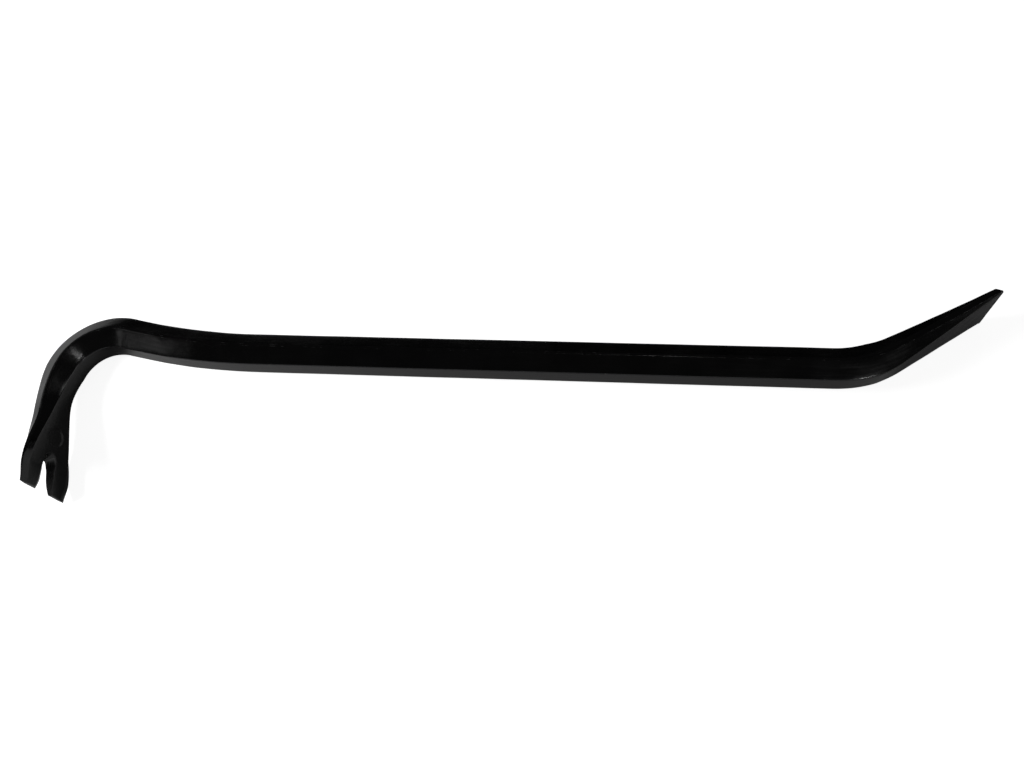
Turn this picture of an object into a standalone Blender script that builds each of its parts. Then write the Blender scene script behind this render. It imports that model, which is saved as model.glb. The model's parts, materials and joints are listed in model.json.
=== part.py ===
"""Gooseneck pry bar: one steel forging, hexagonal shank, nail claw on a hook, offset chisel.

Run with blender --background --python part.py, or from the text editor.
Lengths are metres and angles are degrees until they are used.

The bar is drawn lying flat: its bends all lie in the local XY plane, X runs along the shank
towards the chisel, and the hook points to -Y. An empty then tips it the few degrees that it
needs to lie on its side on a bench, touching at the claw, the hook's ridge and the chisel.
"""

import math
from collections import namedtuple

import bmesh
import bpy
from mathutils import Matrix, Vector

MM = 0.001

# Hexagonal stock.
ACROSS_FLATS = 16.0 * MM
CORNER_RADIUS = 0.9 * MM
RIDGE_BLUNTING = 0.45 * MM

# Centre line, from the claw to the chisel.
CLAW_LENGTH = 39.6 * MM
NECK_RADIUS = 51.7 * MM
NECK_TURN = 25.8
CROWN_RADIUS = 25.3 * MM
CROWN_TURN = 87.1
RISE_RADIUS = 307.0 * MM
RISE_TURN = 12.06
SHANK_LENGTH = 267.5 * MM
CHISEL_BEND_RADIUS = 50.5 * MM
CHISEL_TURN = 30.9
CHISEL_LENGTH = 51.2 * MM

# Claw: distances are measured back from the tip.
CLAW_TIP_WIDTH = 34.8 * MM
CLAW_SHOULDER_WIDTH = 38.0 * MM
CLAW_SHOULDER = 9.0 * MM
CLAW_FLARE_START = 41.2 * MM
CLAW_FLAT_START = 52.5 * MM
CLAW_TAPER_START = 61.2 * MM
CLAW_PLATE = 10.8 * MM
CLAW_THICKNESS = 2.4 * MM
CLAW_BEVEL = 7.0 * MM
CLAW_EDGE = 1.2 * MM
CLAW_SIDE_CHAMFER = 4.0 * MM

# Nail slot in the claw: a narrow V with a round end, flared at its mouth. Its wall is upright for
# the edge's thickness at the outer face, and bevelled from there to the inner face. The bevel
# runs outwards by its slope for each step towards the inner face, up to its full width.
SLOT_WIDTH = 6.6 * MM
SLOT_DEPTH = 15.4 * MM
SLOT_END_RADIUS = 1.4 * MM
SLOT_FLARE = 2.1 * MM
SLOT_FLARE_LENGTH = 7.0 * MM
SLOT_EDGE = 0.3 * MM
SLOT_BEVEL = 3.6 * MM
SLOT_BEVEL_SLOPE = 1.9

# Plain oval forging mark on the claw's inner face.
MARK_FROM_TIP = 26.5 * MM
MARK_ALONG = 8.5 * MM
MARK_ACROSS = 11.0 * MM
MARK_DEPTH = 0.5 * MM
MARK_WALL = 0.8 * MM

# Chisel: distances are measured back from the tip.
CHISEL_WIDTH = 29.4 * MM
CHISEL_TAPER_START = 62.0 * MM
CHISEL_THICKNESS = 3.2 * MM
CHISEL_BEVEL = 1.5 * MM
CHISEL_SIDE_CHAMFER = 0.5 * MM
CHISEL_FLARE_POWER = 1.35
CHISEL_EDGE = 0.8 * MM

# Part of each flattened end's thickness that its upright side face takes.
CLAW_SIDE_FACE = 0.3
CHISEL_SIDE_FACE = 0.5

# Resolution.
DEGREES_PER_RING = 4.0
TIP_RING_SPACING = 3.5 * MM
CORNER_SEGMENTS = 1
SLOT_END_SEGMENTS = 12
SLOT_FLARE_SEGMENTS = 5
MARK_SEGMENTS = 32

# How far a cutter stands past the surface that it cuts.
CUTTER_REACH = 15.0 * MM

# Longest part of a side that one corner's rounding takes.
ROUNDING_SHARE = 0.4

# Edges sharper than this are drawn sharp.
SHARP_ANGLE = 28.0

# How far the slot's bevel is carried on past the inner face, as a part of its whole slope.
BEVEL_OVERSHOOT = 1.2

# How nearly a face of the convex hull must look down for the bar to rest on it.
FACES_DOWN = 0.9

ENAMEL_BLACK = (0.012, 0.012, 0.013, 1.0)
ENAMEL_ROUGHNESS = 0.25

HALF_FLATS = ACROSS_FLATS / 2
RIDGE_HALF_WIDTH = ACROSS_FLATS / math.sqrt(3)
FLAT_HALF_WIDTH = RIDGE_HALF_WIDTH / 2

# Point and direction of travel on the centre line, and distance travelled.
Step = namedtuple("Step", "point heading travelled")

# One cross-section: heights of the outer and inner flats and of the side face's two edges
# above the centre line, half widths of the flats and of the whole section.
Section = namedtuple("Section", "outer inner side_outer side_inner flat side")


def clear_scene():
    """Remove every object that the file opened with."""
    for item in list(bpy.data.objects):
        bpy.data.objects.remove(item, do_unlink=True)


def new_collection(name):
    """Add a collection to the scene."""
    collection = bpy.data.collections.new(name)
    bpy.context.scene.collection.children.link(collection)
    return collection


def new_object(name, data, collection):
    """Add an object to a collection."""
    item = bpy.data.objects.new(name, data)
    collection.objects.link(item)
    return item


def painted_steel():
    """Gloss black enamel on forged steel."""
    material = bpy.data.materials.new("black_enamel")
    material.use_nodes = True
    shader = material.node_tree.nodes["Principled BSDF"]
    shader.inputs["Base Color"].default_value = ENAMEL_BLACK
    shader.inputs["Roughness"].default_value = ENAMEL_ROUGHNESS
    material.diffuse_color = ENAMEL_BLACK
    return material


def direction(heading):
    """Unit vector in the bend plane for a heading in radians."""
    return Vector((math.cos(heading), math.sin(heading), 0.0))


def left_of(heading):
    """Unit vector to the left of a heading."""
    return direction(heading + math.pi / 2)


def clamp(value):
    """Keep a number from 0 to 1."""
    return min(max(value, 0.0), 1.0)


def ease(value):
    """Smooth step from 0 to 1."""
    value = clamp(value)
    return value * value * (3 - 2 * value)


def mix(start, end, share):
    """Straight-line blend of two numbers."""
    return start + (end - start) * share


def run_straight(steps, length, spacing):
    """Continue the centre line straight ahead."""
    start = steps[-1]
    count = max(1, math.ceil(length / spacing))
    for index in range(1, count + 1):
        ahead = length * index / count
        point = start.point + direction(start.heading) * ahead
        steps.append(Step(point, start.heading, start.travelled + ahead))


def run_arc(steps, radius, turn):
    """Continue the centre line round an arc; a positive turn goes left."""
    start = steps[-1]
    side = math.copysign(1.0, turn)
    centre = start.point + left_of(start.heading) * (radius * side)
    count = max(2, math.ceil(abs(turn) / DEGREES_PER_RING))
    for index in range(1, count + 1):
        angle = math.radians(turn) * index / count
        heading = start.heading + angle
        point = centre - left_of(heading) * (radius * side)
        steps.append(Step(point, heading, start.travelled + radius * abs(angle)))


def centre_line():
    """Centre line from the claw's tip to the chisel's tip, with the shank on the X axis."""
    hook = [Step(Vector((0.0, 0.0, 0.0)), math.pi, 0.0)]
    run_arc(hook, RISE_RADIUS, -RISE_TURN)
    run_arc(hook, CROWN_RADIUS, CROWN_TURN)
    run_arc(hook, NECK_RADIUS, NECK_TURN)
    run_straight(hook, CLAW_LENGTH - CLAW_BEVEL, TIP_RING_SPACING)
    run_straight(hook, CLAW_BEVEL, CLAW_BEVEL)

    whole = hook[-1].travelled
    steps = []
    for step in reversed(hook):
        steps.append(Step(step.point, step.heading - math.pi, whole - step.travelled))
    run_straight(steps, SHANK_LENGTH, SHANK_LENGTH)
    run_arc(steps, CHISEL_BEND_RADIUS, CHISEL_TURN)
    run_straight(steps, CHISEL_LENGTH - CHISEL_BEVEL, TIP_RING_SPACING)
    run_straight(steps, CHISEL_BEVEL, CHISEL_BEVEL)
    return steps


def claw_section(from_tip):
    """Hexagon that flattens into the claw's even plate, with a bevel on the tip's inner face."""
    taper = clamp((from_tip - CLAW_PLATE) / (CLAW_TAPER_START - CLAW_PLATE))
    half = mix(CLAW_THICKNESS / 2, HALF_FLATS, taper)
    outer = half
    inner = -half
    if from_tip < CLAW_BEVEL:
        inner = mix(outer - CLAW_EDGE, -half, from_tip / CLAW_BEVEL)

    flare = ease((CLAW_FLARE_START - from_tip) / (CLAW_FLARE_START - CLAW_SHOULDER))
    spread = mix(CLAW_TIP_WIDTH, CLAW_SHOULDER_WIDTH, clamp(from_tip / CLAW_SHOULDER))
    side = mix(RIDGE_HALF_WIDTH, spread / 2, flare)

    flattening = ease((CLAW_FLAT_START - from_tip) / (CLAW_FLAT_START - CLAW_SHOULDER))
    flat = mix(FLAT_HALF_WIDTH, spread / 2 - CLAW_SIDE_CHAMFER, flattening)
    half_face = mix(RIDGE_BLUNTING, (outer - inner) * CLAW_SIDE_FACE / 2, flattening)
    return whole_section(outer, inner, flat, side, half_face)


def chisel_section(from_tip):
    """Hexagon that flattens and widens into the chisel, with its bevel on the upper face."""
    taper = clamp((from_tip - CHISEL_BEVEL) / (CHISEL_TAPER_START - CHISEL_BEVEL))
    half = mix(CHISEL_THICKNESS / 2, HALF_FLATS, taper)
    outer = half
    inner = -half
    if from_tip < CHISEL_BEVEL:
        outer = mix(inner + CHISEL_EDGE, half, from_tip / CHISEL_BEVEL)

    flare = clamp(1 - from_tip / CHISEL_TAPER_START) ** CHISEL_FLARE_POWER
    side = mix(RIDGE_HALF_WIDTH, CHISEL_WIDTH / 2, flare)
    flat = mix(FLAT_HALF_WIDTH, CHISEL_WIDTH / 2 - CHISEL_SIDE_CHAMFER, flare)
    half_face = mix(RIDGE_BLUNTING, (outer - inner) * CHISEL_SIDE_FACE / 2, flare)
    return whole_section(outer, inner, flat, side, half_face)


def whole_section(outer, inner, flat, side, half_face):
    """Section with its side face's edges, which the hexagon's blunt ridge grows into."""
    middle = (outer + inner) / 2
    return Section(outer, inner, middle + half_face, middle - half_face, flat, side)


def section_at(travelled, whole):
    """Section at a distance from the claw's tip."""
    if travelled < whole / 2:
        return claw_section(travelled)
    return chisel_section(whole - travelled)


def section_corners(section):
    """The section's eight corners in order: down one side and up the other."""
    right = [
        (section.flat, section.outer),
        (section.side, section.side_outer),
        (section.side, section.side_inner),
        (section.flat, section.inner),
    ]
    left = [(-across, height) for across, height in reversed(right)]
    return [Vector(corner) for corner in right + left]


def rounded(corners, radius, segments):
    """Outline with each corner replaced by an arc, or a shorter one where there is no room."""
    outline = []
    for index, corner in enumerate(corners):
        before = corners[index - 1] - corner
        after = corners[(index + 1) % len(corners)] - corner
        half_turn = (math.pi - before.angle(after)) / 2
        setback = radius * math.tan(half_turn)
        setback = min(setback, ROUNDING_SHARE * before.length, ROUNDING_SHARE * after.length)
        arc_radius = setback / math.tan(half_turn)
        first = corner + before.normalized() * setback
        last = corner + after.normalized() * setback
        inward = (before.normalized() + after.normalized()).normalized()
        centre = corner + inward * (arc_radius / math.cos(half_turn))
        for step in range(segments + 1):
            spoke = first.lerp(last, step / segments) - centre
            outline.append(centre + spoke.normalized() * arc_radius)
    return outline


def loft_bar(steps):
    """Skin the sections along the centre line and close both ends."""
    mesh = bmesh.new()
    whole = steps[-1].travelled
    rings = []
    for step in steps:
        corners = section_corners(section_at(step.travelled, whole))
        outline = rounded(corners, CORNER_RADIUS, CORNER_SEGMENTS)
        up = left_of(step.heading)
        ring = []
        for across, height in outline:
            ring.append(mesh.verts.new(step.point + up * height + Vector((0.0, 0.0, across))))
        rings.append(ring)
    for near, far in zip(rings, rings[1:]):
        for index in range(len(near)):
            behind = index - 1
            mesh.faces.new((near[behind], near[index], far[index], far[behind]))
    mesh.faces.new(rings[0])
    mesh.faces.new(rings[-1])
    bmesh.ops.recalc_face_normals(mesh, faces=mesh.faces)
    return mesh


def cut_frame(step, section_height):
    """Frame on a face of the claw: X back from the tip, Y across, Z away from the centre line."""
    back = direction(step.heading)
    out = left_of(step.heading)
    origin = step.point + out * section_height
    across = out.cross(back)
    return Matrix.Translation(origin) @ Matrix((back, across, out)).transposed().to_4x4()


def slot_outline():
    """Half of the slot's outline on the outer face, from its end to past the claw's tip.

    Each entry is a point, back from the tip and across, and a direction into the steel.
    """
    end_centre = SLOT_DEPTH - SLOT_END_RADIUS
    # The sides leave the round end as tangents, so they slope by this angle.
    slope = math.asin((SLOT_WIDTH / 2 - SLOT_END_RADIUS) / end_centre)
    outline = []
    for index in range(SLOT_END_SEGMENTS + 1):
        angle = (math.pi / 2 - slope) * index / SLOT_END_SEGMENTS
        outward = Vector((math.cos(angle), math.sin(angle)))
        outline.append((Vector((end_centre, 0.0)) + outward * SLOT_END_RADIUS, outward))
    for index in range(SLOT_FLARE_SEGMENTS + 1):
        share = index / SLOT_FLARE_SEGMENTS
        back = SLOT_FLARE_LENGTH * (1 - share)
        straight = SLOT_WIDTH / 2 / math.cos(slope) - back * math.tan(slope)
        outline.append((Vector((back, straight + SLOT_FLARE * share**2)), outward))
    mouth = outline[-1][0].y
    outline.append((Vector((-CUTTER_REACH, mouth)), outward))
    return outline


def slot_cutter(tip, collection, parent):
    """Solid that passes right through the claw, with the slot's upright edge and its bevel."""
    half = slot_outline()
    outline = []
    for point, outward in half[:0:-1]:
        outline.append((Vector((point.x, -point.y)), Vector((outward.x, -outward.y))))
    outline.extend(half)

    columns = []
    for point, outward in outline:
        section = claw_section(max(point.x, 0.0))
        bevel = (section.outer - SLOT_EDGE - section.inner) * SLOT_BEVEL_SLOPE
        rim = point + outward * min(bevel, SLOT_BEVEL)
        edge = Vector((point.x, point.y, section.outer - SLOT_EDGE))
        face = Vector((rim.x, rim.y, claw_section(max(rim.x, 0.0)).inner))
        past_face = edge.lerp(face, BEVEL_OVERSHOOT)
        above = Vector((point.x, point.y, CUTTER_REACH))
        below = Vector((past_face.x, past_face.y, -CUTTER_REACH))
        columns.append((above, edge, past_face, below))

    mesh = bmesh.new()
    layers = [[mesh.verts.new(point) for point in layer] for layer in zip(*columns)]
    for near, far in zip(layers, layers[1:]):
        for index in range(len(near)):
            behind = index - 1
            mesh.faces.new((near[behind], near[index], far[index], far[behind]))
    mesh.faces.new(layers[0])
    mesh.faces.new(layers[-1])
    bmesh.ops.recalc_face_normals(mesh, faces=mesh.faces)
    solid = bpy.data.meshes.new("nail_slot_cutter")
    mesh.to_mesh(solid)
    mesh.free()
    placement = cut_frame(tip, 0.0)
    return hide_cutter(new_object("nail_slot_cutter", solid, collection), placement, parent)


def mark_cutter(steps, collection, parent):
    """Oval with sloping walls that sinks a blank forging mark into the claw's inner face."""
    step = max((s for s in steps if s.travelled <= MARK_FROM_TIP), key=lambda s: s.travelled)
    nearer = claw_section(step.travelled).inner
    # The inner face is flat there but leans in towards the tip.
    lean = math.atan2(HALF_FLATS - CLAW_THICKNESS / 2, CLAW_TAPER_START - CLAW_PLATE)
    placement = cut_frame(step, nearer) @ Matrix.Rotation(lean, 4, "Y")
    placement = placement @ Matrix.Translation((MARK_FROM_TIP - step.travelled, 0.0, 0.0))

    mesh = bmesh.new()
    rim = MARK_ACROSS / 2
    # The face passes through the middle of the cone, which is as high above it as it is deep.
    bmesh.ops.create_cone(
        mesh,
        cap_ends=True,
        segments=MARK_SEGMENTS,
        radius1=rim + MARK_WALL,
        radius2=rim - MARK_WALL,
        depth=2 * MARK_DEPTH,
    )
    bmesh.ops.scale(mesh, vec=(MARK_ALONG / MARK_ACROSS, 1.0, 1.0), verts=mesh.verts)
    solid = bpy.data.meshes.new("forging_mark_cutter")
    mesh.to_mesh(solid)
    mesh.free()
    return hide_cutter(new_object("forging_mark_cutter", solid, collection), placement, parent)


def hide_cutter(item, placement, parent):
    """Place a cutter and keep it out of the build."""
    item.parent = parent
    item.matrix_local = placement
    item.hide_render = True
    item.display_type = "WIRE"
    return item


def cut(item, cutter):
    """Take a cutter's shape out of an object."""
    modifier = item.modifiers.new(cutter.name, "BOOLEAN")
    modifier.operation = "DIFFERENCE"
    modifier.object = cutter
    modifier.solver = "EXACT"


def balance_point(mesh):
    """Centre of volume, from the tetrahedra that each triangle makes with the origin."""
    volume = 0.0
    moment = Vector()
    for corner_a, corner_b, corner_c in mesh.calc_loop_triangles():
        a = corner_a.vert.co
        b = corner_b.vert.co
        c = corner_c.vert.co
        share = a.dot(b.cross(c)) / 6
        volume += share
        moment += share * (a + b + c) / 4
    return moment / volume


def resting_pose(mesh):
    """Rotation and shift that lay the bar on its side, on the three points that hold it.

    The face of the convex hull that lies under the balance point is the one it settles on.
    """
    balance = balance_point(mesh)
    hull = bmesh.new()
    for vertex in mesh.verts:
        hull.verts.new(vertex.co)
    made = bmesh.ops.convex_hull(hull, input=hull.verts)
    bmesh.ops.delete(hull, geom=made["geom_interior"], context="VERTS")
    down = Vector((0.0, 0.0, -1.0))
    under = None
    for face in hull.faces:
        steep = face.normal.dot(down)
        if steep < FACES_DOWN:
            continue
        drop = (face.verts[0].co - balance).dot(face.normal) / steep
        foot = balance + down * drop
        if bmesh.geometry.intersect_face_point(face, foot):
            under = face.normal.copy()
    hull.free()
    turn = under.rotation_difference(down).to_matrix().to_4x4()
    laid = [turn @ vertex.co for vertex in mesh.verts]
    low = Vector([min(point[axis] for point in laid) for axis in range(3)])
    high = Vector([max(point[axis] for point in laid) for axis in range(3)])
    shift = Vector((-(low.x + high.x) / 2, -(low.y + high.y) / 2, -low.z))
    return Matrix.Translation(shift) @ turn


def build():
    """Make the bar, lay it down and cut its slot and mark."""
    clear_scene()
    parts = new_collection("pry_bar")
    cutters = new_collection("cutters")

    steps = centre_line()
    mesh = loft_bar(steps)
    laid_on_side = new_object("laid_on_side", None, parts)
    laid_on_side.matrix_world = resting_pose(mesh)

    data = bpy.data.meshes.new("forged_bar")
    mesh.to_mesh(data)
    mesh.free()
    data.materials.append(painted_steel())
    data.shade_smooth()
    data.set_sharp_from_angle(angle=math.radians(SHARP_ANGLE))
    bar = new_object("forged_bar", data, parts)
    bar.parent = laid_on_side

    cut(bar, mark_cutter(steps, cutters, laid_on_side))
    cut(bar, slot_cutter(steps[0], cutters, laid_on_side))


build()
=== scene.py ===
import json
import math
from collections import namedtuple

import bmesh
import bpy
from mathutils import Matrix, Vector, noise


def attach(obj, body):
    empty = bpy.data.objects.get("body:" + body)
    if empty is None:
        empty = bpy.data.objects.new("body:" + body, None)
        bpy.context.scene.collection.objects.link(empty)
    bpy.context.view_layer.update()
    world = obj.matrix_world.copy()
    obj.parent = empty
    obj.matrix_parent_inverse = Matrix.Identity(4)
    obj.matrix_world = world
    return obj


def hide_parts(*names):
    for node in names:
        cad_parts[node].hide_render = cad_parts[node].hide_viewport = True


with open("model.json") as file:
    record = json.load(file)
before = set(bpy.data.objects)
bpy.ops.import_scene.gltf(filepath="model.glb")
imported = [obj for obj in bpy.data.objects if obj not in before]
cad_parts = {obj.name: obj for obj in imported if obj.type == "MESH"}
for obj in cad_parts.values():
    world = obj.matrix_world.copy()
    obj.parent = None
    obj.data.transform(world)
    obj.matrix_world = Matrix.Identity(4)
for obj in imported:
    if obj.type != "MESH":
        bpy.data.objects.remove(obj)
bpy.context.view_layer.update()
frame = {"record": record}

# Gooseneck pry bar: the finished surface and gloss black enamel of the one forging, the pale
# floor that it lies on, soft studio light and the camera.
#
# The bar is drawn in its own frame: its bends lie in the local XY plane, X runs along the shank
# towards the chisel, Y points to its back, and Z across it. The frame's mounts say where that
# frame lies. Lengths are metres, and angles are degrees until they are used.

MM = 0.001

# Hexagonal stock.
ACROSS_FLATS = 16.0 * MM
CORNER_RADIUS = 0.9 * MM
RIDGE_BLUNTING = 0.45 * MM

# Centre line, from the claw to the chisel; a positive turn goes left.
CLAW_LENGTH = 39.6 * MM
NECK_RADIUS = 51.7 * MM
NECK_TURN = 25.8
CROWN_RADIUS = 25.3 * MM
CROWN_TURN = 87.1
RISE_RADIUS = 307.0 * MM
RISE_TURN = 12.06
SHANK_LENGTH = 267.5 * MM
CHISEL_BEND_RADIUS = 50.5 * MM
CHISEL_TURN = 30.9
CHISEL_LENGTH = 51.2 * MM

# Claw: distances are measured back from the tip.
CLAW_TIP_WIDTH = 34.8 * MM
CLAW_SHOULDER_WIDTH = 38.0 * MM
CLAW_SHOULDER = 9.0 * MM
CLAW_FLARE_START = 41.2 * MM
CLAW_FLAT_START = 52.5 * MM
CLAW_TAPER_START = 61.2 * MM
CLAW_PLATE = 10.8 * MM
CLAW_THICKNESS = 2.4 * MM
CLAW_BEVEL = 7.0 * MM
CLAW_EDGE = 1.2 * MM
CLAW_SIDE_CHAMFER = 4.0 * MM

# Nail slot in the claw: a narrow V with a round end, flared at its mouth. Its wall is upright for
# the edge's thickness at the outer face, and bevelled from there to the inner face. The bevel
# runs outwards by its slope for each step towards the inner face, up to its full width.
SLOT_WIDTH = 6.6 * MM
SLOT_DEPTH = 15.4 * MM
SLOT_END_RADIUS = 1.4 * MM
SLOT_FLARE = 2.1 * MM
SLOT_FLARE_LENGTH = 7.0 * MM
SLOT_EDGE = 0.3 * MM
SLOT_BEVEL = 3.6 * MM
SLOT_BEVEL_SLOPE = 1.9

# Plain oval forging mark on the claw's inner face.
MARK_FROM_TIP = 26.5 * MM
MARK_ALONG = 8.5 * MM
MARK_ACROSS = 11.0 * MM
MARK_DEPTH = 0.5 * MM
MARK_WALL = 1.0 * MM

# Chisel: distances are measured back from the tip.
CHISEL_WIDTH = 29.4 * MM
CHISEL_TAPER_START = 62.0 * MM
CHISEL_THICKNESS = 3.2 * MM
CHISEL_BEVEL = 1.5 * MM
CHISEL_SIDE_CHAMFER = 0.5 * MM
CHISEL_FLARE_POWER = 1.35
CHISEL_EDGE = 0.8 * MM

# Part of each flattened end's thickness that its upright side face takes.
CLAW_SIDE_FACE = 0.3
CHISEL_SIDE_FACE = 0.5

# Finish of the edges: radius at the tips and round the slot, length of the rounding where the
# slot's bevel meets the inner face, and softness of the tips' bevels.
TIP_ROUNDING = 0.25 * MM
RIM_ROUNDING = 0.15 * MM
BEVEL_ROUNDING = 0.6 * MM
BEVEL_SOFTNESS = 0.5 * MM

# Where the mesh goes over from two tines to whole rings, and its spacing along the bar.
FORK_END = 21.6 * MM
MARK_END = 31.6 * MM
MARK_SPACING = 0.4 * MM
BEND_SPACING = 0.9 * MM
SHANK_SPACING = 1.8 * MM
EDGE_ZONE = 4.0 * MM
EDGE_SPACING = 0.35 * MM

# Numbers of intervals: along a tine, across a tine, across half a flat, and so on.
TINE_STATIONS = 32
TINE_COLUMNS = 18
HALF_FLAT_COLUMNS = 26
FACET_COLUMNS = 5
CORNER_SEGMENTS = 4
RIM_SEGMENTS = 3
BEVEL_COLUMNS = 8
TIP_LOOPS = 3

# Longest part of a side that one corner's rounding takes.
ROUNDING_SHARE = 0.4

# How sharp the two ends of the slot's bevel are, next to a right-angled edge.
RIM_WEAR = 0.5

# The forged surface at the two ends: how far past the bends it runs, and the length over which
# it turns into the rolled surface of the shank.
HOOK_FORGED_PAST = 10 * MM
HOOK_FORGED_FADE = 50 * MM
CHISEL_FORGED_PAST = 25 * MM
CHISEL_FORGED_FADE = 40 * MM

# Unevenness of the surface: lengths of its broad and fine waves, and their heights on the rolled
# and on the forged surface, in millimetres.
BROAD_WAVE = 22 * MM
FINE_WAVE = 7 * MM
FINE_WAVE_START = (5.0, 0.0, 0.0)
ROLLED_BROAD = 0.05
ROLLED_FINE = 0.012
FORGED_BROAD = 0.16
FORGED_FINE = 0.06

HALF_FLATS = ACROSS_FLATS / 2
RIDGE_HALF_WIDTH = ACROSS_FLATS / math.sqrt(3)
FLAT_HALF_WIDTH = RIDGE_HALF_WIDTH / 2

# A stretch of the centre line: where it starts, which way, how far along, its length and its
# curvature. The two indexes are the shank's and the chisel bend's places in the list of runs.
Run = namedtuple("Run", "start heading travelled length bend")
SHANK_RUN = 4
CHISEL_BEND_RUN = 5

# One cross-section: heights of the outer and inner flats and of the side face's two edges
# above the centre line, half widths of the flats and of the whole section.
Section = namedtuple("Section", "outer inner side_outer side_inner flat side")

# A point of the surface: distance from the claw's tip, distance across, height, sharpness.
Spot = namedtuple("Spot", "travelled across height edge")


def direction(heading):
    """Unit vector in the bend plane for a heading in radians."""
    return Vector((math.cos(heading), math.sin(heading), 0.0))


def left_of(heading):
    """Unit vector to the left of a heading."""
    return direction(heading + math.pi / 2)


def clamp(value):
    """Keep a number from 0 to 1."""
    return min(max(value, 0.0), 1.0)


def ease(value):
    """Smooth step from 0 to 1."""
    value = clamp(value)
    return value * value * (3 - 2 * value)


def mix(start, end, share):
    """Straight-line blend of two numbers."""
    return start + (end - start) * share


def soft_min(first, second, softness):
    """The smaller of two numbers, with a rounded changeover."""
    share = clamp(0.5 + 0.5 * (second - first) / softness)
    return mix(second, first, share) - softness * share * (1 - share)


def centre_runs():
    """The centre line's stretches from the claw's tip, with the shank starting at the origin."""
    turn = math.radians
    plan = [
        (CLAW_LENGTH, 0.0),
        (NECK_RADIUS * turn(NECK_TURN), -1 / NECK_RADIUS),
        (CROWN_RADIUS * turn(CROWN_TURN), -1 / CROWN_RADIUS),
        (RISE_RADIUS * turn(RISE_TURN), 1 / RISE_RADIUS),
        (SHANK_LENGTH, 0.0),
        (CHISEL_BEND_RADIUS * turn(CHISEL_TURN), 1 / CHISEL_BEND_RADIUS),
        (CHISEL_LENGTH, 0.0),
    ]
    start = Vector((0.0, 0.0, 0.0))
    heading = turn(NECK_TURN + CROWN_TURN - RISE_TURN)
    travelled = 0.0
    runs = []
    for length, bend in plan:
        run = Run(start, heading, travelled, length, bend)
        runs.append(run)
        start, heading = along(run, length)
        travelled += length
    shank_start = runs[SHANK_RUN].start
    return [run._replace(start=run.start - shank_start) for run in runs]


def along(run, ahead):
    """Point and heading at a distance into a run."""
    heading = run.heading + run.bend * ahead
    if run.bend:
        return run.start + (left_of(run.heading) - left_of(heading)) / run.bend, heading
    return run.start + direction(run.heading) * ahead, heading


RUNS = centre_runs()
WHOLE = RUNS[-1].travelled + RUNS[-1].length


def place(spot):
    """Local position of a point of the surface."""
    run = [r for r in RUNS if r.travelled <= max(spot.travelled, 0.0)][-1]
    point, heading = along(run, spot.travelled - run.travelled)
    return point + left_of(heading) * spot.height + Vector((0.0, 0.0, spot.across))


def claw_section(from_tip):
    """Hexagon that flattens into the claw's even plate, with a bevel on the tip's inner face."""
    taper = clamp((from_tip - CLAW_PLATE) / (CLAW_TAPER_START - CLAW_PLATE))
    half = mix(CLAW_THICKNESS / 2, HALF_FLATS, taper)
    outer = half
    bevel = mix(CLAW_EDGE - outer, half, from_tip / CLAW_BEVEL)
    inner = -soft_min(half, bevel, BEVEL_SOFTNESS)

    flare = ease((CLAW_FLARE_START - from_tip) / (CLAW_FLARE_START - CLAW_SHOULDER))
    spread = mix(CLAW_TIP_WIDTH, CLAW_SHOULDER_WIDTH, ease(from_tip / CLAW_SHOULDER))
    side = mix(RIDGE_HALF_WIDTH, spread / 2, flare)

    flattening = ease((CLAW_FLAT_START - from_tip) / (CLAW_FLAT_START - CLAW_SHOULDER))
    flat = mix(FLAT_HALF_WIDTH, spread / 2 - CLAW_SIDE_CHAMFER, flattening)
    half_face = mix(RIDGE_BLUNTING, (outer - inner) * CLAW_SIDE_FACE / 2, flattening)
    return whole_section(outer, inner, flat, side, half_face)


def chisel_section(from_tip):
    """Hexagon that flattens and widens into the chisel, with its bevel on the upper face."""
    taper = clamp((from_tip - CHISEL_BEVEL) / (CHISEL_TAPER_START - CHISEL_BEVEL))
    half = mix(CHISEL_THICKNESS / 2, HALF_FLATS, taper)
    inner = -half
    bevel = mix(inner + CHISEL_EDGE, half, from_tip / CHISEL_BEVEL)
    outer = soft_min(half, bevel, BEVEL_SOFTNESS)

    flare = clamp(1 - from_tip / CHISEL_TAPER_START) ** CHISEL_FLARE_POWER
    side = mix(RIDGE_HALF_WIDTH, CHISEL_WIDTH / 2, flare)
    flat = mix(FLAT_HALF_WIDTH, CHISEL_WIDTH / 2 - CHISEL_SIDE_CHAMFER, flare)
    half_face = mix(RIDGE_BLUNTING, (outer - inner) * CHISEL_SIDE_FACE / 2, flare)
    return whole_section(outer, inner, flat, side, half_face)


def whole_section(outer, inner, flat, side, half_face):
    """Section with its side face's edges, which the hexagon's blunt ridge grows into."""
    middle = (outer + inner) / 2
    return Section(outer, inner, middle + half_face, middle - half_face, flat, side)


def section_at(travelled):
    """Section at a distance from the claw's tip."""
    if travelled < WHOLE / 2:
        return claw_section(travelled)
    return chisel_section(WHOLE - travelled)


def rounded(before, corner, after):
    """Points of the arc that replaces a corner, or of a shorter one where there is no room."""
    back = before - corner
    ahead = after - corner
    half_turn = (math.pi - back.angle(ahead)) / 2
    setback = CORNER_RADIUS * math.tan(half_turn)
    setback = min(setback, ROUNDING_SHARE * back.length, ROUNDING_SHARE * ahead.length)
    radius = setback / math.tan(half_turn)
    first = corner + back.normalized() * setback
    last = corner + ahead.normalized() * setback
    inward = (back.normalized() + ahead.normalized()).normalized()
    centre = corner + inward * (radius / math.cos(half_turn))
    arc = []
    for index in range(CORNER_SEGMENTS + 1):
        spoke = first.lerp(last, index / CORNER_SEGMENTS) - centre
        arc.append(centre + spoke.normalized() * radius)
    return arc


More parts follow.
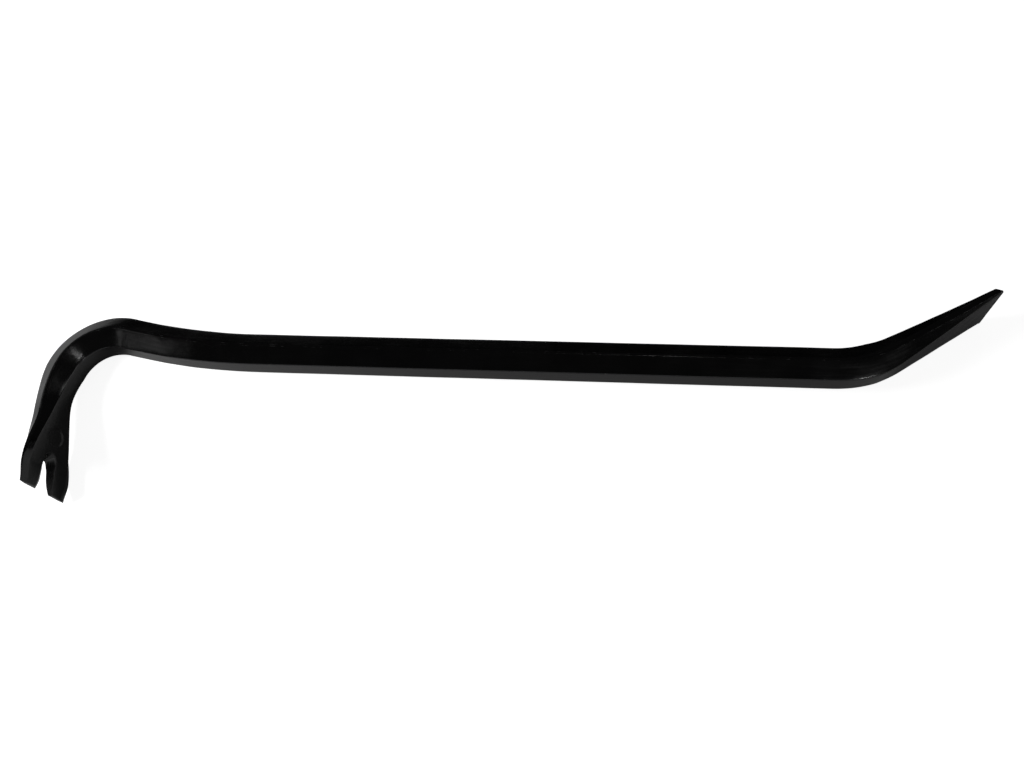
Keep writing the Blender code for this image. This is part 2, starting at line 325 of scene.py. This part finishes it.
def side_spots(travelled, hand):
    """One side of a section, from the outer flat round to the inner flat."""
    section = section_at(travelled)
    corners = [
        Vector((-section.flat, section.outer)),
        Vector((section.flat, section.outer)),
        Vector((section.side, section.side_outer)),
        Vector((section.side, section.side_inner)),
        Vector((section.flat, section.inner)),
        Vector((-section.flat, section.inner)),
    ]
    spots = []
    for index in range(1, 5):
        arc = rounded(*corners[index - 1 : index + 2])
        if index in (2, 4):
            start = spots[-1]
            for column in range(1, FACET_COLUMNS):
                share = column / FACET_COLUMNS
                across = mix(start.across * hand, arc[0].x, share) * hand
                height = mix(start.height, arc[0].y, share)
                spots.append(Spot(travelled, across, height, 0.0))
        for number, point in enumerate(arc):
            edge = math.sin(math.pi * number / CORNER_SEGMENTS)
            spots.append(Spot(travelled, point.x * hand, point.y, edge))
    return spots


def flat_spots(travelled, half_width, outer):
    """Points between the corners of the outer or the inner flat, from the right to the left."""
    section = section_at(travelled)
    spots = []
    for column in range(1, 2 * HALF_FLAT_COLUMNS):
        across = half_width * (1 - column / HALF_FLAT_COLUMNS)
        height = section.outer if outer else section.inner + mark_depth(travelled, across)
        spots.append(Spot(travelled, across, height, 0.0))
    return spots


def mark_depth(travelled, across):
    """Depth of the blank oval mark at a point of the claw's inner face."""
    along_mark = (travelled - MARK_FROM_TIP) / (MARK_ALONG / 2)
    across_mark = across / (MARK_ACROSS / 2)
    inside = (1 - math.hypot(along_mark, across_mark)) * MARK_ACROSS / 2
    return MARK_DEPTH * ease(0.5 + inside / MARK_WALL)


def slot_contour(share):
    """Point on the slot's outline on the outer face, and its direction into the steel.

    The share goes from 0 at the tip to 1 at the round end's corner and 2 at its middle.
    """
    end_centre = SLOT_DEPTH - SLOT_END_RADIUS
    slope = math.asin((SLOT_WIDTH / 2 - SLOT_END_RADIUS) / end_centre)
    # The straight side meets the round end as a tangent.
    touch = end_centre + SLOT_END_RADIUS * math.sin(slope)
    straight = (touch - TIP_ROUNDING) / math.cos(slope)
    diagonal = math.radians(45)
    first_arc = SLOT_END_RADIUS * (math.pi / 2 - slope - diagonal)
    if share <= 1:
        distance = share * (straight + first_arc)
    else:
        distance = straight + first_arc + (share - 1) * SLOT_END_RADIUS * diagonal
    if distance < straight:
        travelled = TIP_ROUNDING + distance * math.cos(slope)
        across = SLOT_END_RADIUS * math.cos(slope) + (touch - travelled) * math.tan(slope)
        across += SLOT_FLARE * clamp(1 - travelled / SLOT_FLARE_LENGTH) ** 2
        return Vector((travelled, across)), Vector((math.sin(slope), math.cos(slope)))
    angle = math.pi / 2 - slope - (distance - straight) / SLOT_END_RADIUS
    outward = Vector((math.cos(angle), math.sin(angle)))
    return Vector((end_centre, 0.0)) + outward * SLOT_END_RADIUS, outward


def tine_spots(share, boundary, hand):
    """Points over a tine's inner face, down the slot's bevel, and back over the outer face.

    The share is the slot contour's, and the boundary is the tine's side or the first whole ring.
    """
    contour, outward = slot_contour(share)
    section = claw_section(contour.x)
    edge_height = section.outer - SLOT_EDGE
    bevel = min((edge_height - section.inner) * SLOT_BEVEL_SLOPE, SLOT_BEVEL)
    rim = contour + outward * bevel
    corner = Vector((rim.x, rim.y, claw_section(rim.x).inner))
    foot = Vector((contour.x, contour.y, edge_height))
    # The rounding takes no more than a third of the bevel.
    softness = min(BEVEL_ROUNDING, bevel / 3)
    level = rim + outward * softness
    on_face = Vector((level.x, level.y, claw_section(level.x).inner))
    on_bevel = corner + (foot - corner).normalized() * softness

    points = []
    for column in range(TINE_COLUMNS - 1, 0, -1):
        point = level.lerp(boundary, column / TINE_COLUMNS)
        points.append((Vector((point.x, point.y, claw_section(point.x).inner)), 0.0))
    for index in range(RIM_SEGMENTS + 1):
        turn = index / RIM_SEGMENTS
        point = on_face.lerp(corner, turn).lerp(corner.lerp(on_bevel, turn), turn)
        points.append((point, RIM_WEAR * math.sin(math.pi * turn)))
    for column in range(1, BEVEL_COLUMNS):
        points.append((on_bevel.lerp(foot, column / BEVEL_COLUMNS), 0.0))
    points.append((foot, RIM_WEAR))
    for index in range(RIM_SEGMENTS + 1):
        angle = math.pi / 2 * index / RIM_SEGMENTS
        point = contour + outward * RIM_ROUNDING * (1 - math.cos(angle))
        height = claw_section(point.x).outer - RIM_ROUNDING * (1 - math.sin(angle))
        points.append((Vector((point.x, point.y, height)), math.sin(2 * angle)))
    level = contour + outward * RIM_ROUNDING
    for column in range(1, TINE_COLUMNS):
        point = level.lerp(boundary, column / TINE_COLUMNS)
        points.append((Vector((point.x, point.y, claw_section(point.x).outer)), 0.0))
    return [Spot(point.x, point.y * hand, point.z, edge) for point, edge in points]


def stations():
    """Distances from the claw's tip of the whole rings, closer where the shape needs it."""
    shank_start = RUNS[SHANK_RUN].travelled
    shank_end = WHOLE - CHISEL_LENGTH - RUNS[CHISEL_BEND_RUN].length
    zones = [
        (FORK_END, MARK_END, MARK_SPACING),
        (MARK_END, shank_start, BEND_SPACING),
        (shank_start, shank_end, SHANK_SPACING),
        (shank_end, WHOLE - EDGE_ZONE, BEND_SPACING),
        (WHOLE - EDGE_ZONE, WHOLE - TIP_ROUNDING, EDGE_SPACING),
    ]
    result = [FORK_END]
    for start, end, spacing in zones:
        count = math.ceil((end - start) / spacing)
        for index in range(1, count + 1):
            result.append(mix(start, end, index / count))
    return result


class Skin:
    """The bar's surface as it is being made."""

    def __init__(self):
        self.mesh = bmesh.new()
        self.edge = self.mesh.verts.layers.float.new("edge")
        self.forged = self.mesh.verts.layers.float.new("forged")
        self.flow = self.mesh.verts.layers.float_vector.new("flow")

    def points(self, spots):
        """Add a row of points."""
        row = []
        for spot in spots:
            vertex = self.mesh.verts.new(place(spot))
            vertex[self.edge] = spot.edge
            vertex[self.forged] = forged_share(spot.travelled)
            vertex[self.flow] = (spot.travelled, spot.across, spot.height)
            row.append(vertex)
        return row

    def strip(self, first, second):
        """Join two rows of points with faces."""
        for index in range(len(first) - 1):
            corners = (first[index], first[index + 1], second[index + 1], second[index])
            self.mesh.faces.new(corners)

    def cap(self, loop, side_count):
        """Close a loop across its thickness, each outer point to the inner one facing it."""
        half = side_count // 2
        for index in range(half, half + len(loop) // 2 - 1):
            facing = (side_count - 1 - index) % len(loop)
            beyond = (side_count - 2 - index) % len(loop)
            self.mesh.faces.new((loop[index], loop[index + 1], loop[beyond], loop[facing]))

    def rounded_end(self, spots, outward, side_count):
        """Round a loop over at a tip and close it; outward is +1 or -1 along the bar."""
        loop = self.points(spots)
        first = loop
        for number in range(1, TIP_LOOPS + 1):
            angle = math.pi / 2 * number / TIP_LOOPS
            ahead = outward * TIP_ROUNDING * math.sin(angle)
            inset = TIP_ROUNDING * (1 - math.cos(angle))
            following = self.points(shrunk(spots, ahead, inset))
            self.strip(loop + loop[:1], following + following[:1])
            loop = following
        self.cap(loop, side_count)
        return first


def shrunk(spots, ahead, inset):
    """A loop moved along the bar and drawn in all round."""
    turning = 0.0
    for index, spot in enumerate(spots):
        before = spots[index - 1]
        turning += before.across * spot.height - spot.across * before.height
    inward = math.copysign(inset, turning)
    result = []
    for index, spot in enumerate(spots):
        before = spots[index - 1]
        after = spots[(index + 1) % len(spots)]
        run = Vector((after.across - before.across, after.height - before.height)).normalized()
        across = spot.across - run.y * inward
        height = spot.height + run.x * inward
        result.append(Spot(spot.travelled + ahead, across, height, 1.0))
    return result


def forged_share(travelled):
    """How much of the surface is as forged, and not as rolled: the hook and the chisel."""
    shank_start = RUNS[SHANK_RUN].travelled
    shank_end = RUNS[CHISEL_BEND_RUN].travelled
    hook = ease((shank_start + HOOK_FORGED_PAST - travelled) / HOOK_FORGED_FADE)
    chisel = ease((travelled - shank_end + CHISEL_FORGED_PAST) / CHISEL_FORGED_FADE)
    return max(hook, chisel)


def fork(skin, ring_side, ring_outer, ring_inner, hand):
    """One tine and its half of the slot's end, joined to the first whole ring.

    ring_side is the ring's side on this hand, and ring_outer and ring_inner are its flats from
    the corner to the middle.
    """
    sides = []
    boundaries = []
    for index in range(TINE_STATIONS):
        travelled = mix(TIP_ROUNDING, FORK_END, index / TINE_STATIONS)
        spots = side_spots(travelled, hand)
        sides.append(spots)
        boundaries.append(Vector((travelled, spots[0].across * hand)))
    tip_loop = sides[0] + tine_spots(0.0, boundaries[0], hand)
    count = len(sides[0])
    first = skin.rounded_end(tip_loop, -1, count)
    side = first[:count]
    face = first[count:]
    for index in range(1, TINE_STATIONS):
        next_side = skin.points(sides[index])
        spots = tine_spots(index / TINE_STATIONS, boundaries[index], hand)
        next_face = skin.points(spots)
        skin.strip(side, next_side)
        skin.strip([side[-1], *face, side[0]], [next_side[-1], *next_face, next_side[0]])
        side = next_side
        face = next_face
    skin.strip(side, ring_side)
    corner = side_spots(FORK_END, 1)[0].across
    ends = (side[-1], side[0])
    for index in range(HALF_FLAT_COLUMNS):
        share = index / HALF_FLAT_COLUMNS
        boundary = Vector((FORK_END, corner * (1 - share)))
        next_face = skin.points(tine_spots(1 + share, boundary, hand))
        next_ends = (ring_inner[index], ring_outer[index])
        skin.strip([ends[0], *face, ends[1]], [next_ends[0], *next_face, next_ends[1]])
        ends = next_ends
        face = next_face
    return face


def bar_surface():
    """The whole bar as one closed mesh: rings along it, and two tines round the slot."""
    skin = Skin()
    rings = []
    for travelled in stations():
        right = side_spots(travelled, 1)
        left = side_spots(travelled, -1)[::-1]
        inner = flat_spots(travelled, right[-1].across, False)
        outer = flat_spots(travelled, right[0].across, True)[::-1]
        rings.append(right + inner + left + outer)
    count = len(right)
    flat_count = len(inner)

    first = skin.points(rings[0])
    ring = first
    for spots in rings[1:-1]:
        following = skin.points(spots)
        skin.strip(ring + ring[:1], following + following[:1])
        ring = following
    chisel_edge = skin.rounded_end(rings[-1], 1, count)
    skin.strip(ring + ring[:1], chisel_edge + chisel_edge[:1])

    right = first[:count]
    inner = first[count : count + flat_count]
    left = first[count + flat_count : 2 * count + flat_count]
    outer = first[2 * count + flat_count :]
    middle = HALF_FLAT_COLUMNS - 1
    right_outer = [right[0], *outer[::-1][: middle + 1]]
    right_inner = [right[-1], *inner[: middle + 1]]
    right_face = fork(skin, right, right_outer, right_inner, 1)
    left_outer = [left[-1], *outer[: middle + 1]]
    left_inner = [left[0], *inner[::-1][: middle + 1]]
    left_face = fork(skin, left[::-1], left_outer, left_inner, -1)
    # The row over the middle of the slot's round end.
    apex = skin.points(tine_spots(2.0, Vector((FORK_END, 0.0)), 1))
    ends = [inner[middle], *apex, outer[middle]]
    skin.strip([inner[middle - 1], *right_face, outer[middle + 1]], ends)
    skin.strip([inner[middle + 1], *left_face, outer[middle - 1]], ends)
    return skin.mesh


def bar_place():
    """Where the bar's own frame lies, from the frame's mounts on its flats."""
    mounts = {mount["name"]: mount for mount in frame["record"]["mounts"]}
    back = Vector(mounts["shank_back_flat"]["axis"]).normalized()
    under = Vector(mounts["chisel_underside"]["axis"])
    across = under.cross(back).normalized()
    ahead = back.cross(across)
    turn = Matrix((ahead, back, across)).transposed().to_4x4()
    # The mount on the back stands over the middle of the shank.
    local = Vector((SHANK_LENGTH / 2, HALF_FLATS, 0.0))
    origin = Vector(mounts["shank_back_flat"]["pos_m"]) - turn.to_3x3() @ local
    return Matrix.Translation(origin) @ turn


def roughen(mesh):
    """Leave the faint unevenness of a forged and painted surface."""
    forged = mesh.verts.layers.float["forged"]
    moved = []
    for vertex in mesh.verts:
        point = vertex.co
        broad = noise.noise(point / BROAD_WAVE)
        fine = noise.noise(point / FINE_WAVE + Vector(FINE_WAVE_START))
        rolled = (ROLLED_BROAD * broad + ROLLED_FINE * fine) * MM
        hammered = (FORGED_BROAD * broad + FORGED_FINE * fine) * MM
        moved.append(point + vertex.normal * mix(rolled, hammered, vertex[forged]))
    for vertex, point in zip(mesh.verts, moved):
        vertex.co = point


# Sockets of a Mix node, which only differ by number: the two values, and the two colours with
# their result.
MIX_VALUES = (2, 3)
MIX_COLOURS = (6, 7)
MIX_COLOUR_RESULT = 2


def add_node(tree, kind, **values):
    """Add a shader node; values set its properties, and its inputs by name."""
    node = tree.nodes.new(kind)
    for name, value in values.items():
        if hasattr(node, name):
            setattr(node, name, value)
        else:
            node.inputs[name.replace("_", " ")].default_value = value
    return node


def feed(tree, socket, value):
    """Link a value to a socket, or set the socket to a number or a colour."""
    if isinstance(value, bpy.types.NodeSocket):
        tree.links.new(value, socket)
    else:
        socket.default_value = value


def ramp(tree, factor, low, high, bottom=0.0, top=1.0):
    """Remap a value smoothly from low..high to bottom..top."""
    node = add_node(tree, "ShaderNodeMapRange", interpolation_type="SMOOTHSTEP")
    tree.links.new(factor, node.inputs["Value"])
    node.inputs["From Min"].default_value = low
    node.inputs["From Max"].default_value = high
    node.inputs["To Min"].default_value = bottom
    node.inputs["To Max"].default_value = top
    return node.outputs["Result"]


def calculate(tree, operation, first, second):
    """A Math node between two values or numbers."""
    node = add_node(tree, "ShaderNodeMath", operation=operation)
    feed(tree, node.inputs[0], first)
    feed(tree, node.inputs[1], second)
    return node.outputs["Value"]


def grain(tree, coordinates, size, detail=2.0, roughness=0.5, stretch=(1.0, 1.0, 1.0)):
    """Noise with features of about the given size in metres."""
    mapping = add_node(tree, "ShaderNodeMapping")
    mapping.inputs["Scale"].default_value = Vector(stretch) / size
    tree.links.new(coordinates, mapping.inputs["Vector"])
    node = add_node(tree, "ShaderNodeTexNoise", Scale=1.0, Detail=detail, Roughness=roughness)
    tree.links.new(mapping.outputs["Vector"], node.inputs["Vector"])
    return node.outputs["Fac"]


def attribute(tree, name, output="Fac"):
    """A value or vector kept on the mesh's points."""
    return add_node(tree, "ShaderNodeAttribute", attribute_name=name).outputs[output]


def blend_colour(tree, factor, low, high):
    """Blend two colours by a value."""
    node = add_node(tree, "ShaderNodeMix", data_type="RGBA")
    tree.links.new(factor, node.inputs["Factor"])
    for socket, value in zip(MIX_COLOURS, (low, high)):
        feed(tree, node.inputs[socket], value)
    return node.outputs[MIX_COLOUR_RESULT]


def blend_value(tree, factor, low, high):
    """Blend two values or numbers by a value."""
    node = add_node(tree, "ShaderNodeMix", data_type="FLOAT")
    tree.links.new(factor, node.inputs["Factor"])
    for socket, value in zip(MIX_VALUES, (low, high)):
        feed(tree, node.inputs[socket], value)
    return node.outputs["Result"]


def bump(tree, height, distance, below=None):
    """Bump of a height map, over another one."""
    node = add_node(tree, "ShaderNodeBump", Strength=1.0, Distance=distance)
    tree.links.new(height, node.inputs["Height"])
    if below is not None:
        tree.links.new(below, node.inputs["Normal"])
    return node.outputs["Normal"]


# Colours of the enamel: the two blacks that it clouds between, rubbed paint, and bare steel.
DEEP_BLACK = (0.0014, 0.0014, 0.0015, 1.0)
THIN_BLACK = (0.0026, 0.0026, 0.0027, 1.0)
RUBBED_GREY = (0.030, 0.030, 0.031, 1.0)
BARE_STEEL = (0.22, 0.21, 0.20, 1.0)
RUBBED_COVER = 0.6

# Roughness of the enamel, from one end of its clouds to the other, with what the drag marks add,
# and of rubbed paint.
CLOUD_ROUGHNESS = (0.12, 0.19)
DRAG_ROUGHNESS = 0.06
RUBBED_ROUGHNESS = 0.46
ENAMEL_IOR = 1.5

# Sizes of the enamel's patterns, and the stretch of each one's noise that shows.
CLOUD_SIZE = 16 * MM
CLOUD_RANGE = (0.3, 0.7)
DRAG_SIZE = 0.9 * MM
DRAG_STRETCH = (0.06, 1.0, 1.0)
DRAG_RANGE = (0.45, 0.75)
RUB_SIZE = 5 * MM
RUB_RANGE = (0.50, 0.70)
SHARP_RANGE = (0.4, 1.0)
FLECK_SIZE = 1.3 * MM
FLECK_RANGE = (0.70, 0.72)
CHIPPED_RANGE = (0.2, 0.6)

# Relief: sizes and depths of the forge scale's pits and of the orange peel, how much of the pits
# is left on rolled steel, and the depth of a chip.
PIT_SIZE = 2.6 * MM
PIT_DEPTH = 0.05 * MM
ROLLED_PITS = 0.15
PEEL_SIZE = 0.9 * MM
PEEL_DEPTH = 0.008 * MM
CHIP_DEPTH = 0.04 * MM


def black_enamel():
    """Gloss black enamel over forged steel, a little thin and scuffed along the edges."""
    material = bpy.data.materials.new("black_enamel")
    material.use_nodes = True
    tree = material.node_tree
    shader = tree.nodes["Principled BSDF"]
    # Distances along the bar, across it and above its centre line: marks follow its bends.
    where = attribute(tree, "flow", "Vector")
    edge = attribute(tree, "edge")
    forged = attribute(tree, "forged")

    # Cloudy variation of the paint, and faint drag marks along the bar.
    cloud = ramp(tree, grain(tree, where, CLOUD_SIZE, detail=3.0), *CLOUD_RANGE)
    drag = grain(tree, where, DRAG_SIZE, detail=3.0, stretch=DRAG_STRETCH)
    drag = ramp(tree, drag, *DRAG_RANGE)

    # Rubbed paint is greyer and duller, and shows only along the sharpest edges; in a few
    # spots it is chipped through to the steel.
    rub = ramp(tree, grain(tree, where, RUB_SIZE, detail=4.0, roughness=0.65), *RUB_RANGE)
    rubbed = calculate(tree, "MULTIPLY", rub, ramp(tree, edge, *SHARP_RANGE))
    flecks = ramp(tree, grain(tree, where, FLECK_SIZE), *FLECK_RANGE)
    chipped = calculate(tree, "MULTIPLY", flecks, ramp(tree, rubbed, *CHIPPED_RANGE))

    black = blend_colour(tree, cloud, DEEP_BLACK, THIN_BLACK)
    cover = calculate(tree, "MULTIPLY", rubbed, RUBBED_COVER)
    worn = blend_colour(tree, cover, black, RUBBED_GREY)
    colour = blend_colour(tree, chipped, worn, BARE_STEEL)
    tree.links.new(colour, shader.inputs["Base Color"])

    dragged = calculate(tree, "MULTIPLY", drag, DRAG_ROUGHNESS)
    gloss = calculate(tree, "ADD", blend_value(tree, cloud, *CLOUD_ROUGHNESS), dragged)
    gloss = blend_value(tree, rubbed, gloss, RUBBED_ROUGHNESS)
    tree.links.new(gloss, shader.inputs["Roughness"])
    tree.links.new(chipped, shader.inputs["Metallic"])
    shader.inputs["IOR"].default_value = ENAMEL_IOR

    # Forge scale under the paint, then the paint's own orange peel, and the chips.
    scale_pits = grain(tree, where, PIT_SIZE, detail=3.0, roughness=0.6)
    pits = calculate(tree, "MULTIPLY", scale_pits, blend_value(tree, forged, ROLLED_PITS, 1.0))
    peel = grain(tree, where, PEEL_SIZE, detail=1.0)
    relief = bump(tree, pits, PIT_DEPTH)
    relief = bump(tree, peel, PEEL_DEPTH, relief)
    relief = bump(tree, calculate(tree, "SUBTRACT", 1.0, chipped), CHIP_DEPTH, relief)
    tree.links.new(relief, shader.inputs["Normal"])
    return material


def make_bar():
    """The finished bar, laid where the frame has it."""
    skin = bar_surface()
    bmesh.ops.recalc_face_normals(skin, faces=skin.faces)
    skin.normal_update()
    roughen(skin)
    skin.transform(bar_place())
    data = bpy.data.meshes.new("pry_bar")
    skin.to_mesh(data)
    skin.free()
    data.shade_smooth()
    data.materials.append(black_enamel())
    bar = bpy.data.objects.new("pry_bar", data)
    bpy.context.scene.collection.objects.link(bar)
    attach(bar, "root")
    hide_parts("forged_bar")


# Studio: the floor, and how much it and the backdrop glow to the camera.
FLOOR_SIZE = 3.0
FLOOR_WHITE = (0.86, 0.86, 0.86, 1.0)
FLOOR_ROUGHNESS = 0.9
FLOOR_GLOW = 0.9
BACKDROP_WHITE = (1.0, 1.0, 1.0, 1.0)
BACKDROP_GLOW = 1.1
# Painted shade: the black that the floor is blended towards in reflections behind the bar.
PAINTED_SHADE_BLACK = (0.0, 0.0, 0.0, 1.0)

# Painted shade: where the floor behind the bar is painted dark in reflections only, by its Y, and
# how much of its white is left there.
PAINTED_SHADE_FADE = (0.05, 0.13)
PAINTED_SHADE_REMAINDER = 0.03

# Painted glow: where the floor in front of the bar glows in reflections only, though it is no
# lamp, by its Y, and how much.
PAINTED_GLOW_DEPTH = (-0.30, -0.12)
PAINTED_GLOW = 0.7

# The studio in reflections: the walls' tops, by a direction's Z, where they turn dark at the
# back, by its Y, and how bright the walls and the ceiling are. The fill is for everything else.
WALL_TOP = (0.12, 0.42)
WALL_SHINE = 0.75
WALL_BACK = (-0.2, 0.4)
CEILING_SHINE = 0.032
STUDIO_FILL = 0.08

# Two big soft boxes high on the left and right: where they begin, by the square of a direction's
# X, by its Y and by its Z.
BOX_SIDE = (0.34, 0.48)
BOX_FRONT = (-0.30, -0.12)
BOX_HEIGHT = (0.45, 0.65)
BOX_SHINE = 1.6

# Key light, which reflections don't show.
KEY_PLACE = (-0.58, -0.06, 0.48)
KEY_TARGET = (-0.1, 0.0, 0.0)
KEY_SIZE = (0.25, 0.25)
KEY_POWER = 2.1

# Small lamps: a point that mirrors each, the direction to it from there, its size and its glow.
HIGHLIGHT_DISTANCE = 0.9
HIGHLIGHTS = (
    ("neck_lamp", (-0.17, 0.02, 0.02), (-0.64, -0.40, 0.66), (0.10, 0.10), 0.8),
    ("crown_lamp", (-0.197, 0.01, 0.03), (0.32, -0.10, 0.94), (0.04, 0.04), 20.0),
    ("bend_lamp", (0.16, 0.015, 0.01), (0.47, -0.61, 0.65), (0.07, 0.07), 60.0),
)

# Camera, with its lens and sensor in millimetres.
CAMERA_PLACE = (0.04955, -0.10657, 0.41606)
CAMERA_TURN = (16.229, 5.055, 3.678)
CAMERA_LENS = 32.105
SENSOR_WIDTH = 36.0
CLIP_START = 0.01


def make_floor():
    """Pale matt floor that glows evenly white to the camera; in the bar's reflections it has a
    painted glow in front and painted shade behind.
    """
    half = FLOOR_SIZE / 2
    data = bpy.data.meshes.new("floor")
    corners = [(-half, -half, 0.0), (half, -half, 0.0), (half, half, 0.0), (-half, half, 0.0)]
    data.from_pydata(corners, [], [(0, 1, 2, 3)])
    material = bpy.data.materials.new("pale_floor")
    material.use_nodes = True
    tree = material.node_tree
    paper = tree.nodes["Principled BSDF"]
    paper.inputs["Roughness"].default_value = FLOOR_ROUGHNESS
    paper.inputs["Specular IOR Level"].default_value = 0.0
    path = add_node(tree, "ShaderNodeLightPath")
    # Painted shade: the bar's own reflections see the floor painted dark behind the bar, for
    # reflections only.
    where = add_node(tree, "ShaderNodeSeparateXYZ")
    tree.links.new(add_node(tree, "ShaderNodeTexCoord").outputs["Object"], where.inputs["Vector"])
    painted_shade_share = ramp(tree, where.outputs["Y"], *PAINTED_SHADE_FADE, 1.0, PAINTED_SHADE_REMAINDER)
    share = blend_value(tree, path.outputs["Is Glossy Ray"], 1.0, painted_shade_share)
    white = blend_colour(tree, share, PAINTED_SHADE_BLACK, FLOOR_WHITE)
    tree.links.new(white, paper.inputs["Base Color"])
    # Painted glow: the bar's reflections see the paper glow, though it is no lamp, only well in
    # front of the bar.
    front = ramp(tree, where.outputs["Y"], *PAINTED_GLOW_DEPTH, PAINTED_GLOW, 0.0)
    front = calculate(tree, "MULTIPLY", front, path.outputs["Is Glossy Ray"])
    glow = blend_value(tree, path.outputs["Is Camera Ray"], front, FLOOR_GLOW)
    paper.inputs["Emission Color"].default_value = BACKDROP_WHITE
    tree.links.new(glow, paper.inputs["Emission Strength"])
    data.materials.append(material)
    floor = bpy.data.objects.new("floor", data)
    bpy.context.scene.collection.objects.link(floor)


def make_world():
    """White to the camera; to the bar a dark studio, with pale walls and two soft boxes."""
    world = bpy.data.worlds.new("studio")
    bpy.context.scene.world = world
    world.use_nodes = True
    tree = world.node_tree
    background = tree.nodes["Background"]
    path = add_node(tree, "ShaderNodeLightPath")
    towards = add_node(tree, "ShaderNodeSeparateXYZ")
    facing = add_node(tree, "ShaderNodeTexCoord").outputs["Generated"]
    tree.links.new(facing, towards.inputs["Vector"])
    low = ramp(tree, towards.outputs["Z"], *WALL_TOP, 1.0, 0.0)
    front = ramp(tree, towards.outputs["Y"], *WALL_BACK, 1.0, 0.0)
    walls = blend_value(tree, calculate(tree, "MULTIPLY", low, front), CEILING_SHINE, WALL_SHINE)
    aside = calculate(tree, "MULTIPLY", towards.outputs["X"], towards.outputs["X"])
    high = ramp(tree, towards.outputs["Z"], *BOX_HEIGHT)
    behind = ramp(tree, towards.outputs["Y"], *BOX_FRONT)
    boxes = calculate(tree, "MULTIPLY", ramp(tree, aside, *BOX_SIDE), high)
    boxes = calculate(tree, "MULTIPLY", boxes, behind)
    walls = blend_value(tree, boxes, walls, BOX_SHINE)
    dark = blend_value(tree, path.outputs["Is Glossy Ray"], STUDIO_FILL, walls)
    strength = blend_value(tree, path.outputs["Is Camera Ray"], dark, BACKDROP_GLOW)
    background.inputs["Color"].default_value = BACKDROP_WHITE
    tree.links.new(strength, background.inputs["Strength"])


def area_light(name, place, target, size, power):
    """A soft rectangular light."""
    data = bpy.data.lights.new(name, "AREA")
    data.shape = "RECTANGLE"
    data.size, data.size_y = size
    data.energy = power
    light = bpy.data.objects.new(name, data)
    light.location = place
    light.rotation_euler = (Vector(target) - Vector(place)).to_track_quat("-Z", "Y").to_euler()
    light.visible_camera = False
    bpy.context.scene.collection.objects.link(light)
    return light


def make_lights():
    """Key light on the left, and small lamps that only show as highlights."""
    key = area_light("key", KEY_PLACE, KEY_TARGET, KEY_SIZE, KEY_POWER)
    key.visible_glossy = False
    for name, target, towards, size, glow in HIGHLIGHTS:
        place = Vector(target) + Vector(towards).normalized() * HIGHLIGHT_DISTANCE
        # The power that gives a surface of this size the wanted glow.
        power = glow * math.pi * size[0] * size[1]
        lamp = area_light(name, place, target, size, power)
        lamp.visible_diffuse = False


def make_camera():
    """Camera over the bar, a little in front of it."""
    data = bpy.data.cameras.new("camera")
    data.lens = CAMERA_LENS
    data.sensor_width = SENSOR_WIDTH
    data.clip_start = CLIP_START
    camera = bpy.data.objects.new("camera", data)
    camera.location = CAMERA_PLACE
    camera.rotation_euler = [math.radians(angle) for angle in CAMERA_TURN]
    bpy.context.scene.collection.objects.link(camera)
    bpy.context.scene.camera = camera


make_camera()
make_bar()
make_floor()
make_world()
make_lights()
bpy.context.scene.view_settings.view_transform = "Standard"

bpy.context.view_layer.update()
